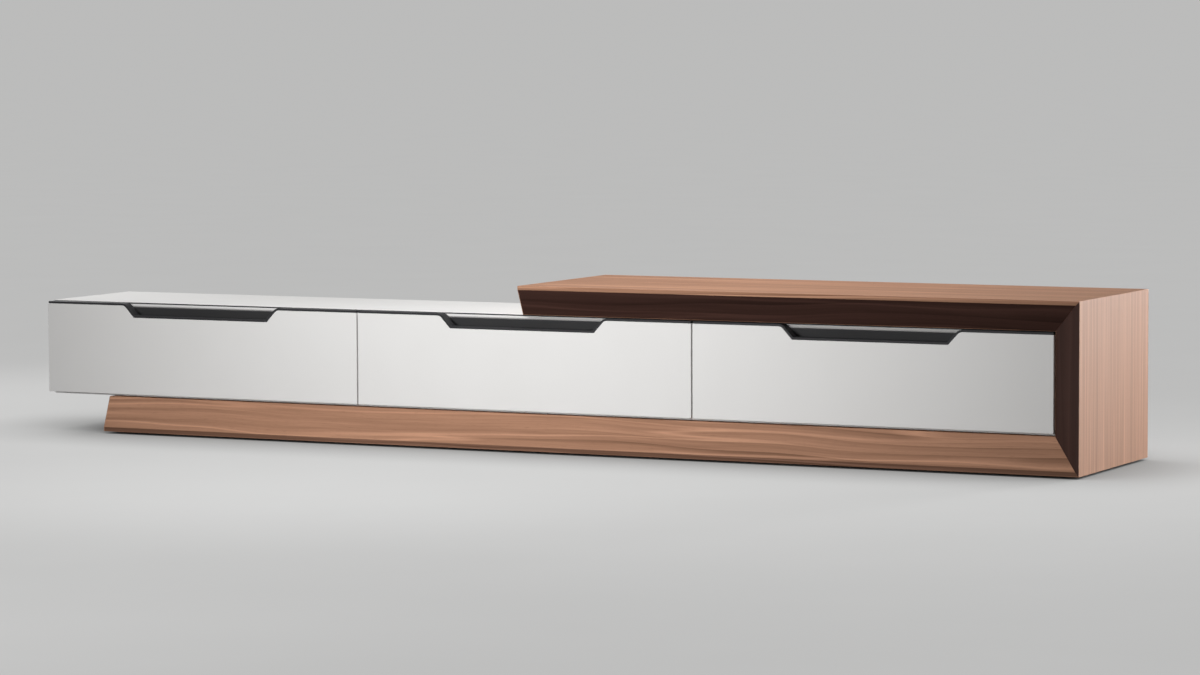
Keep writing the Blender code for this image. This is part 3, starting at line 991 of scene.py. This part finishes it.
@dataclass
class FrameMember:
    """A member of the walnut frame, from its outer corner: mitred to its mates, lipped at a square end.

    Its mates are given by their thickness, and None is a square end. The edge span tells which of
    its edges take the finish's darker tint, partly darker veneer and partly painted shade, by how
    much of their normal points inward.
    """

    node: str
    finish: WoodFinish
    edge_span: Span
    corner: Vector
    along: Vector
    inward: Vector
    length: float
    thickness: float
    mates: tuple[float, float | None]
    bevel_depth: float = 25 * MM
    flat_share: float = 0.13
    arris: float = 1.0 * MM
    mitre_gap: float = 0.10 * MM
    lipping: float = 1.6 * MM
    lipping_gap: float = 0.05 * MM

    def ring(self, start: float, mate: float | None = None, sign: float = 1.0) -> list[Vector]:
        """The member's section at one place, slanted there for a mitre.

        Args:
            start: distance from the corner.
            mate: thickness of the member that it is mitred to, if any.
            sign: 1 where the mitre shortens the member's start, -1 for its stop.

        Returns:
            The section's points.
        """
        low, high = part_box(self.node)
        section = (
            (low.y, 0.0), (low.y, self.thickness * self.flat_share),
            (low.y + self.bevel_depth, self.thickness), (high.y, self.thickness), (high.y, 0.0),
        )
        points = []
        for y, depth in section:
            shift = 0.0 if mate is None else depth * mate / self.thickness + self.mitre_gap
            end = self.corner + self.along * (start + sign * shift)
            points.append(end + self.inward * depth + Axis.Y.vector * y)
        return points

    def build(self) -> None:
        """Builds the member, and a solid lipping on its square end."""
        first, last = self.mates
        square = last is None
        stop = self.length - (self.lipping + self.lipping_gap if square else 0.0)
        rings = [self.ring(0.0, first), self.ring(stop, last, -1.0)]
        blank = Blank.loft(self.node + "_veneered", rings, (False, False)).ease(self.arris, weighted=True)
        blank.lay_grain(self.along, self.inward, self.corner, self.edge_span, front_only=True)
        blank.fit(self.finish, CABINET, self.node)
        if square:
            start = self.length - self.lipping
            rings = [self.ring(start), self.ring(self.length)]
            blank = Blank.loft(self.node + "_end_lipping", rings, (False, True))
            blank.ease(self.arris, weighted=True)
            blank.lay_grain(Axis.Y.vector, self.along, self.corner + self.along * start)
            blank.fit(WALNUT_LIPPING, CABINET)


@dataclass
class WalnutFrame:
    """Base, right side and top in walnut, mitred, with a bevel that slopes in to the case."""

    # Faces that take the darker tint, which is partly darker veneer and partly painted shade.
    flat_span: Span = (-0.15, 0.15)
    bevel_span: Span = (0.25, 0.6)
    bevel_and_flat_span: Span = (-0.5, 0.6)

    def build(self) -> None:
        """Builds the three members and dresses the hidden tongues."""
        base_low, base_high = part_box("frame_base")
        side_low, side_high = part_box("frame_side")
        top_low, top_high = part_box("frame_top")
        base = base_high.z - base_low.z
        side = side_high.x - side_low.x
        top = top_high.z - top_low.z
        right = side_high.x
        foot = Vector((right, 0.0, base_low.z))
        head = Vector((right, 0.0, top_high.z))
        left = -Axis.X.vector
        up = Axis.Z.vector
        FrameMember("frame_base", WALNUT_DARK_AND_SHADED_FLAT, self.flat_span, foot, left, up,
                    right - base_low.x, base, (side, None)).build()
        FrameMember("frame_top", WALNUT_DARK_AND_SHADED_BEVEL, self.bevel_span, head, left, -up,
                    right - top_low.x, top, (side, None)).build()
        FrameMember("frame_side", WALNUT_CALM, self.bevel_and_flat_span, head, -up, left,
                    head.z - foot.z, side, (top, base)).build()
        for node in ("frame_top_tongue", "frame_base_tongue"):
            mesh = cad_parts[node].data
            mesh.materials.clear()
            mesh.materials.append(BIRCH_PLY.material(Coordinates.OBJECT))
            LOG.info("%s dressed", node)


@dataclass
class Glides:
    """Six low plastic glides under the base, each with a screw in its hollow."""

    rim: float = 1.4 * MM
    rim_share: float = 0.3
    hollow_radius: float = 5.5 * MM
    hollow_depth: float = 2.6 * MM
    shoulder: float = 0.7 * MM
    screw_seat: float = 0.4 * MM
    sides: int = 40

    def build(self) -> list[Row]:
        """Builds the glides.

        Returns:
            The rows of their screws.
        """
        rows = []
        for across in ("front", "rear"):
            places = [self.glide(f"base_glide_{across}_{bay.value}") for bay in Bay]
            rows.append(Row(places[0], places[-1], len(places), -Axis.Z.vector))
        return rows

    def glide(self, node: str) -> Vector:
        """Builds one glide.

        Args:
            node: the node that it stands for.

        Returns:
            The place of its screw.
        """
        low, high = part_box(node)
        centre = Vector(((low.x + high.x) / 2, (low.y + high.y) / 2, low.z))
        radius = (high.x - low.x) / 2
        height = high.z - low.z
        rim_step = self.rim * self.rim_share
        profile = [
            (0.0, self.hollow_depth), (self.hollow_radius - self.shoulder, self.hollow_depth),
            (self.hollow_radius, self.shoulder), (self.hollow_radius + self.shoulder, 0.0),
            (radius - self.rim, 0.0), (radius - rim_step, rim_step), (radius, self.rim),
            (radius, height - self.shoulder), (radius - self.shoulder, height), (0.0, height),
        ]
        blank = Blank.lathe(node + "_turned", profile, centre, self.sides)
        blank.smooth().fit(GLIDE_PLASTIC, CABINET, node)
        return centre + Axis.Z.vector * (self.hollow_depth - self.screw_seat)


@dataclass
class Case:
    """The white case: top with a lip, bottom, sides, dividers, back, and the finger rails."""

    lip_height: float = 8 * MM
    arris: float = 1.0 * MM
    # Charcoal strip over the lip: a painted shadow line of a recessed seam.
    line_sheet: float = 0.6 * MM
    shadow_line_height: float = 2.5 * MM
    line_arris: float = 0.15 * MM
    rail_sheet: float = 2 * MM
    rail_drop: float = 15 * MM
    rail_fold: float = 3.2 * MM
    screw_inset: float = 24 * MM
    screw_count: int = 3

    def build(self) -> list[Row]:
        """Builds the panels and the rails.

        Returns:
            The rows of the screws that hold the back to the dividers.
        """
        self.top()
        for panel in ("bottom", "left_side", "right_side", "divider_left", "divider_right", "back"):
            node = f"case_{panel}"
            blank = Blank.board(node + "_lacquered", *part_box(node))
            blank.ease(self.arris).fit(WHITE_LACQUER, CABINET, node)
        for bay in Bay:
            self.finger_rail(f"finger_rail_{bay.value}")
        return [self.back_screws(f"case_divider_{side.value}") for side in Side]

    def top(self) -> None:
        """Builds the top, undercut in front to a thin lip, and over the lip a charcoal strip that is a
        painted shadow of a recessed seam.
        """
        low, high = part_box("case_top")
        undercut = high.z - low.z - self.lip_height
        section = [
            (low.y, high.z), (low.y, high.z - self.lip_height), (low.y + undercut, low.z),
            (high.y, low.z), (high.y, high.z),
        ]
        blank = Blank.prism("case_top_lacquered", section, Axis.X, (low.x, high.x))
        blank.ease(self.arris).fit(WHITE_LACQUER, CABINET, "case_top")
        # A thin charcoal strip on the lip's face stands in for the shadow of a recessed seam: painted
        # shadow.
        shadow_line_high = Vector((high.x - self.arris, low.y, high.z - self.arris))
        shadow_line_low = Vector((low.x + self.arris, low.y - self.line_sheet, shadow_line_high.z - self.shadow_line_height))
        line = Blank.board("case_top_edge_line", shadow_line_low, shadow_line_high)
        line.ease(self.line_arris, 2).fit(CHARCOAL_COAT, CABINET)

    def finger_rail(self, node: str) -> None:
        """Builds a rail of folded sheet: down and back from the lip, then straight down.

        Args:
            node: the node that it stands for.
        """
        low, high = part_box(node)
        fold_z = low.z + self.rail_drop
        fold_y = low.y + high.z - fold_z
        path = [(low.y, high.z), (fold_y, fold_z), (fold_y, low.z)]
        section = folded_sheet(path, self.rail_fold, -self.rail_sheet)
        blank = Blank.prism(node + "_folded", section, Axis.X, (low.x, high.x))
        # Its finish is the charcoal coat lightened against the recess's shade: painted light.
        blank.smooth().fit(CHARCOAL_COAT_PAINTED_LIGHT, CABINET, node)

    def back_screws(self, divider: str) -> Row:
        """Places the screws through the back into a divider.

        Args:
            divider: the divider's node.

        Returns:
            Their row.
        """
        low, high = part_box(divider)
        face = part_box("case_back")[1].y
        heights = (low.z + self.screw_inset, high.z - self.screw_inset)
        ends = [Vector(((low.x + high.x) / 2, face, height)) for height in heights]
        return Row(*ends, self.screw_count, Axis.Y.vector)


@dataclass
class Drawer:
    """One drawer: notched front, pull trim and plywood box."""

    bay: Bay
    notch_top: float = 384 * MM
    notch_bottom: float = 336 * MM
    notch_depth: float = 26 * MM
    shoulder: float = 14 * MM
    corner: float = 3 * MM
    cap: float = 4.8 * MM
    cap_gap: float = 0.3 * MM
    sharpest_corner: float = 0.6 * MM
    flange: float = 3 * MM
    cut_margin: float = 10 * MM
    front_arris: float = 1.0 * MM
    trim_arris: float = 0.4 * MM
    wall_arris: float = 1.2 * MM
    bottom_arris: float = 0.4 * MM
    groove_depth: float = 6 * MM
    groove_height: float = 6.6 * MM
    groove_rise: float = 8 * MM
    screw_inset: float = 90 * MM
    screw_count: int = 4

    @property
    def body(self) -> str:
        """The drawer's body in the frame."""
        return f"drawer_{self.bay.value}"

    def build(self) -> list[Row]:
        """Builds the front, the trim and the box.

        Returns:
            The rows of the screws that hold the front to the box.
        """
        self.front()
        self.pull_trim()
        for wall in Wall:
            self.grooved_wall(wall)
        plain_boards = (("back", Axis.Y, self.wall_arris), ("bottom", Axis.Z, self.bottom_arris))
        for board, through, arris in plain_boards:
            node = f"{self.body}_box_{board}"
            self.dress_board(Blank.board(node + "_ply", *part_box(node)), node, Axis.X, through, arris)
        low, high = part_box(f"{self.body}_box_front")
        places = (low.x + self.screw_inset, high.x - self.screw_inset)
        ends = [Vector((x, high.y, (low.z + high.z) / 2)) for x in places]
        return [Row(*ends, self.screw_count, Axis.Y.vector)]

    def notched_outline(self, low: Vector, high: Vector, grow: float) -> Outline:
        """Outline of a board with the pull notch in its top edge.

        Args:
            low: the board's lowest corner.
            high: its highest corner.
            grow: how far its top edge and notch stand out beyond the front's.

        Returns:
            The outline, in X and Z.
        """
        middle = (low.x + high.x) / 2
        run = (self.notch_top - self.notch_bottom) / 2
        inset = grow * (math.hypot(run, self.notch_depth) - run) / self.notch_depth
        half_top = self.notch_top / 2 - inset
        half_bottom = self.notch_bottom / 2 - inset
        floor = high.z - self.notch_depth
        shoulder = self.shoulder + grow
        corner = max(self.corner - grow, self.sharpest_corner)
        return rounded_outline([
            (low.x, low.z, 0), (high.x, low.z, 0), (high.x, high.z, 0),
            (middle + half_top, high.z, shoulder), (middle + half_bottom, floor, corner),
            (middle - half_bottom, floor, corner), (middle - half_top, high.z, shoulder),
            (low.x, high.z, 0),
        ])

    def front(self) -> None:
        """Builds the white front."""
        node = f"{self.body}_front"
        low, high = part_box(node)
        outline = self.notched_outline(low, high, 0.0)
        blank = Blank.prism(node + "_lacquered", outline, Axis.Y, (low.y, high.y))
        blank.ease(self.front_arris).fit(WHITE_LACQUER, self.body, node)

    def pull_trim(self) -> None:
        """Builds the trim: a cap along the front's notched top edge, with a flange behind the front."""
        node = f"{self.body}_pull_trim"
        low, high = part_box(node)
        outline = self.notched_outline(low, high, self.cap)
        blank = Blank.prism(node + "_coated", outline, Axis.Y, (low.y, high.y))
        margin = Vector((self.cut_margin, self.cut_margin, self.cut_margin))
        room_high = high + margin
        room_high.z = high.z - self.cap + self.cap_gap
        outline = self.notched_outline(low - margin, room_high, self.cap_gap)
        span = (low.y - self.cut_margin, high.y - self.flange)
        blank.cut(Blank.prism("front_room", outline, Axis.Y, span))
        blank.ease(self.trim_arris, 2).fit(CHARCOAL_COAT, self.body, node)

    def grooved_wall(self, wall: Wall) -> None:
        """Builds a wall of the box, with a groove for the bottom in its inner face.

        Args:
            wall: which wall.
        """
        node = f"{self.body}_box_{wall.value}"
        low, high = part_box(node)
        along, through = (Axis.X, Axis.Y) if wall is Wall.FRONT else (Axis.Y, Axis.X)
        outer, inner = low.dot(through.vector), high.dot(through.vector)
        if wall is Wall.RIGHT:
            outer, inner = inner, outer
        groove_face = inner - math.copysign(self.groove_depth, inner - outer)
        groove_low = low.z + self.groove_rise
        groove_high = groove_low + self.groove_height
        section = [
            (outer, low.z), (inner, low.z), (inner, groove_low), (groove_face, groove_low),
            (groove_face, groove_high), (inner, groove_high), (inner, high.z), (outer, high.z),
        ]
        blank = Blank.prism(node + "_ply", section, along, (low.dot(along.vector), high.dot(along.vector)))
        self.dress_board(blank, node, along, through, self.wall_arris)

    def dress_board(self, blank: Blank, node: str, along: Axis, through: Axis, arris: float) -> None:
        """Eases a plywood board, lays its grain and fits it."""
        blank.ease(arris).lay_grain(along.vector, through.vector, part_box(node)[0])
        blank.fit(BIRCH_PLY, self.body, node)


@dataclass
class Slides:
    """The two ball-bearing slides of one drawer."""

    bay: Bay
    ball_row: BallRow
    hole_row: HoleRow
    sheet: float = 1.2 * MM
    fold: float = 1.5 * MM
    curl: float = 2.2 * MM
    hole_radius: float = 2.3 * MM
    hole_count: int = 7
    hole_inset: float = 17 * MM
    screw_radius: float = 2.7 * MM
    screw_count: int = 3
    ball_radius: float = 1.4 * MM
    ball_count: int = 14
    ball_inset: float = 10 * MM
    cage_sheet: float = 0.5 * MM
    cage_width: float = 4.2 * MM
    cage_drop: float = 1.1 * MM
    cage_fold: float = 0.8 * MM
    cage_margin: float = 5 * MM

    def body_of(self, member: Member) -> str:
        """The body that carries a member."""
        movers = {Member.MIDDLE: f"carriage_{self.bay.value}", Member.DRAWER: f"drawer_{self.bay.value}"}
        return movers.get(member, CABINET)

    def node(self, side: Side, member: Member) -> str:
        """The node's name of a member on one side of the bay."""
        return f"slide_{self.bay.value}_{side.value}_{member.value}_member"

    def build(self) -> dict[str, list[Row]]:
        """Builds the members, the balls and their cages.

        Returns:
            The rows of the slides' screws, by body.
        """
        screws: dict[str, list[Row]] = {self.body_of(member): [] for member in Member}
        for side in Side:
            for member in Member:
                holes = self.member(side, member)
                if member is not Member.MIDDLE:
                    step = (holes.stop - holes.start) / (self.hole_count - 1)
                    fixed = Row(holes.start + step, holes.stop - step, self.screw_count, holes.facing)
                    screws[self.body_of(member)].append(fixed)
        self.bearings(Member.CABINET, Member.MIDDLE)
        self.bearings(Member.MIDDLE, Member.DRAWER)
        return screws

    def member(self, side: Side, member: Member) -> Row:
        """Builds one member: a rolled channel with a row of holes in its web.

        Args:
            side: the side of the bay.
            member: which member.

        Returns:
            The row of its holes, on the inner face of its web.
        """
        node = self.node(side, member)
        low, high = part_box(node)
        opens_right = (side is Side.LEFT) != (member is Member.DRAWER)
        web, tip = (low.x, high.x) if opens_right else (high.x, low.x)
        path = [
            (tip, low.z + self.curl), (tip, low.z), (web, low.z),
            (web, high.z), (tip, high.z), (tip, high.z - self.curl),
        ]
        section = folded_sheet(path, self.fold, -self.sheet if opens_right else self.sheet)
        blank = Blank.prism(node + "_channel", section, Axis.Y, (low.y, high.y))
        facing = Axis.X.vector if opens_right else -Axis.X.vector
        face = Vector((web, 0.0, (low.z + high.z) / 2)) + facing * self.sheet
        ends = [face + Axis.Y.vector * y for y in (low.y + self.hole_inset, high.y - self.hole_inset)]
        row = Row(*ends, self.hole_count, facing)
        blank.obj.data = self.hole_row.run(row, self.hole_radius, ZINC_PLATE, blank.obj.data)
        blank.smooth().fit(ZINC_PLATE, self.body_of(member), node)
        return row

    def bearings(self, outer: Member, inner: Member) -> None:
        """Builds the balls and cages between two members, on the inner one's rear half.

        Args:
            outer: the member that the balls run in.
            inner: the member that carries them.
        """
        rows = []
        shape = bmesh.new()
        for side in Side:
            outer_low, outer_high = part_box(self.node(side, outer))
            inner_low, inner_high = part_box(self.node(side, inner))
            x = (max(outer_low.x, inner_low.x) + min(outer_high.x, inner_high.x)) / 2
            z = (outer_high.z - self.sheet + inner_high.z) / 2
            middle = (inner_low + inner_high) / 2
            reach = (middle.y + self.ball_inset, inner_high.y - self.ball_inset)
            upper = Row(*(Vector((x, y, z)) for y in reach), self.ball_count, Axis.Z.vector)
            for row in (upper, upper.mirrored_height(middle.z)):
                rows.append(row)
                self.add_cage(shape, row)
        body = self.body_of(inner)
        self.ball_row.piece(f"{body}_balls", rows, self.ball_radius, BALL_STEEL, body)
        Blank(f"{body}_ball_cages", shape).smooth().fit(ZINC_PLATE, body)

    def add_cage(self, shape: BMesh, row: Row) -> None:
        """Adds the cage strip of a row of balls, with its two edges turned in.

        Args:
            shape: the mesh that takes it.
            row: the balls' row.
        """
        half = self.cage_width / 2
        path = [(-half, -self.cage_drop), (-half, 0.0), (half, 0.0), (half, -self.cage_drop)]
        section = folded_sheet(path, self.cage_fold, -self.cage_sheet)
        ends = (row.start.y - self.cage_margin, row.stop.y + self.cage_margin)
        wrap(shape, [[Vector((row.start.x + x, y, row.start.z + z)) for x, z in section] for y in ends])


# The studio


@dataclass(frozen=True)
class Lamp:
    """A soft rectangular lamp that shines at a point."""

    name: str
    place: Triple
    target: Triple
    size: Span
    power: float
    fan: float = 180.0

    def build(self) -> None:
        """Adds the lamp, unseen by the camera."""
        light = bpy.data.lights.new(self.name, "AREA")
        light.shape = "RECTANGLE"
        light.size, light.size_y = self.size
        light.energy = self.power
        light.spread = math.radians(self.fan)
        lamp = new_object(self.name, light)
        lamp.location = self.place
        ahead = Vector(self.target) - Vector(self.place)
        lamp.rotation_euler = ahead.to_track_quat("-Z", "Y").to_euler()
        lamp.visible_camera = False


@dataclass
class Studio:
    """Camera, soft lamps, world and a wide pale floor."""

    lamps: tuple[Lamp, ...] = (
        Lamp("key", (-0.05, -1.35, 1.10), (-0.05, -0.19, 0.18), (1.0, 0.6), 13.0),
        Lamp("front", (0.05, -4.0, 0.50), (-0.05, -0.19, 0.22), (1.5, 0.5), 8.1, 64.0),
        Lamp("overhead", (0.30, 0.2, 1.75), (0.30, 0.0, 0.34), (0.9, 0.5), 3.0, 80.0),
        Lamp("right_side", (4.0, 1.4, 1.1), (1.2, 0.0, 0.24), (0.9, 0.9), 7.0, 60.0),
        Lamp("glancing", (2.25, 2.85, 0.75), (1.65, 0.0, 0.28), (0.8, 0.6), 7.5, 36.0),
        Lamp("left_side", (-2.8, 1.1, 1.6), (-1.1, 0.0, 0.2), (1.2, 1.0), 10.5, 80.0),
    )
    focal_pixels: float = 4174.5
    image_width: float = 1200.0
    sensor: float = 36.0
    view_reach: float = 1000.0
    yaw: float = 0.4592
    pitch: float = 0.0758
    roll: float = -0.0037
    camera_place: Triple = (3.9448, -7.8550, 0.8947)
    floor_reach: float = 220.0
    floor_colour: Triple = (0.64, 0.64, 0.635)
    floor_shade: Triple = (0.10, 0.10, 0.099)
    floor_cloud_scale: float = 3.0
    floor_cloud_detail: float = 3.0
    floor_drift: float = 0.97
    floor_glow: float = 0.75
    contact_reach: float = 0.30
    fill: float = 0.18

    @property
    def backdrop(self) -> Triple:
        """The colour of the floor far away, so that no horizon shows."""
        share = self.floor_glow + (1 - self.floor_glow) * self.fill
        return tuple(value * share * (1 + self.floor_drift) / 2 for value in self.floor_colour)

    def build(self) -> None:
        """Builds the studio."""
        bpy.context.scene.view_settings.view_transform = "Standard"
        self.camera()
        for lamp in self.lamps:
            lamp.build()
        self.world()
        self.floor()

    def camera(self) -> None:
        """Sets the camera at the photograph's angle."""
        data = bpy.data.cameras.new("camera")
        data.sensor_width = self.sensor
        data.lens = self.sensor * self.focal_pixels / self.image_width
        data.clip_end = self.view_reach
        camera = new_object("camera", data)
        pose = Matrix.Translation(self.camera_place)
        for angle, axis in ((self.yaw, "Z"), (math.pi / 2 - self.pitch, "X"), (self.roll, "Z")):
            pose = pose @ Matrix.Rotation(angle, 4, axis)
        camera.matrix_world = pose
        bpy.context.scene.camera = camera

    def empty_sketch(self, tree: NodeTree) -> Sketch:
        """Starts a sketch of a tree without the nodes that it came with."""
        tree.nodes.clear()
        return Sketch(tree)

    def end(self, draw: Sketch, output: str, hidden: NodeSocket, seen: NodeSocket) -> None:
        """Ends a tree in another shader for what the camera sees, also in gloss and through glass.

        Args:
            draw: the tree's sketch.
            output: Blender's name of the output node.
            hidden: the shader that lights the console.
            seen: the shader that the camera sees.
        """
        path = draw.node("ShaderNodeLightPath").outputs
        direct = draw.math("MAXIMUM", path["Is Camera Ray"], path["Is Glossy Ray"])
        factor = draw.math("MAXIMUM", direct, path["Is Transmission Ray"])
        draw.node(output, {0: draw.out("ShaderNodeMixShader", {0: factor, 1: hidden, 2: seen})})

    def world(self) -> None:
        """Builds an even soft world, pale where the camera sees it."""
        world = bpy.data.worlds.new("studio")
        bpy.context.scene.world = world
        world.use_nodes = True
        draw = self.empty_sketch(world.node_tree)
        soft = draw.out("ShaderNodeBackground", {"Color": opaque((1.0, 1.0, 1.0)), "Strength": self.fill})
        pale = draw.out("ShaderNodeBackground", {"Color": opaque(self.backdrop), "Strength": 1.0})
        self.end(draw, "ShaderNodeOutputWorld", soft, pale)

    def floor(self) -> None:
        """Builds the floor, which keeps the console's shadow; ambient occlusion darkens its glow near the
        console, a painted contact shadow.
        """
        reach = self.floor_reach
        corners = ((-reach, -reach, 0.0), (reach, -reach, 0.0), (reach, reach, 0.0), (-reach, reach, 0.0))
        mesh = bpy.data.meshes.new("floor")
        mesh.from_pydata(corners, [], [range(len(corners))])
        material = bpy.data.materials.new("pale_floor")
        material.use_nodes = True
        draw = self.empty_sketch(material.node_tree)
        cloud = draw.noise(draw.object_place(), self.floor_cloud_scale, self.floor_cloud_detail)
        dimmer = tuple(self.floor_drift * value for value in self.floor_colour)
        tone = draw.blend(cloud, opaque(self.floor_colour), opaque(dimmer))
        lit = draw.out("ShaderNodeBsdfDiffuse", {"Color": tone})
        # Ambient occlusion dims the floor's glow near the console: painted contact shadow.
        painted_contact_shadow = draw.node("ShaderNodeAmbientOcclusion", {"Distance": self.contact_reach}).outputs["AO"]
        glow = draw.out("ShaderNodeEmission", {"Color": tone, "Strength": painted_contact_shadow})
        shown = draw.out("ShaderNodeMixShader", {0: self.floor_glow, 1: lit, 2: glow})
        dim = draw.out("ShaderNodeBsdfDiffuse", {"Color": opaque(self.floor_shade)})
        self.end(draw, "ShaderNodeOutputMaterial", dim, shown)
        mesh.materials.append(material)
        floor = new_object("floor", mesh)


def main() -> None:
    """Builds the studio and the console, sub-assembly by sub-assembly."""
    logging.basicConfig(level=logging.INFO, format="%(name)s: %(message)s")
    Studio().build()
    screw_row = ScrewRow()
    ball_row = BallRow()
    hole_row = HoleRow()
    WalnutFrame().build()
    screws = {CABINET: Glides().build() + Case().build()}
    slide_screws: dict[str, list[Row]] = {}
    for bay in Bay:
        drawer = Drawer(bay)
        screws[drawer.body] = drawer.build()
        for body, rows in Slides(bay, ball_row, hole_row).build().items():
            slide_screws.setdefault(body, []).extend(rows)
    for body, rows in screws.items():
        screw_row.piece(f"{body}_screws", rows, PANEL_SCREW_RADIUS, ZINC_PLATE, body)
        screw_row.piece(f"{body}_slide_screws", slide_screws[body], Slides.screw_radius, ZINC_PLATE, body)


if __name__ == "__main__":
    main()
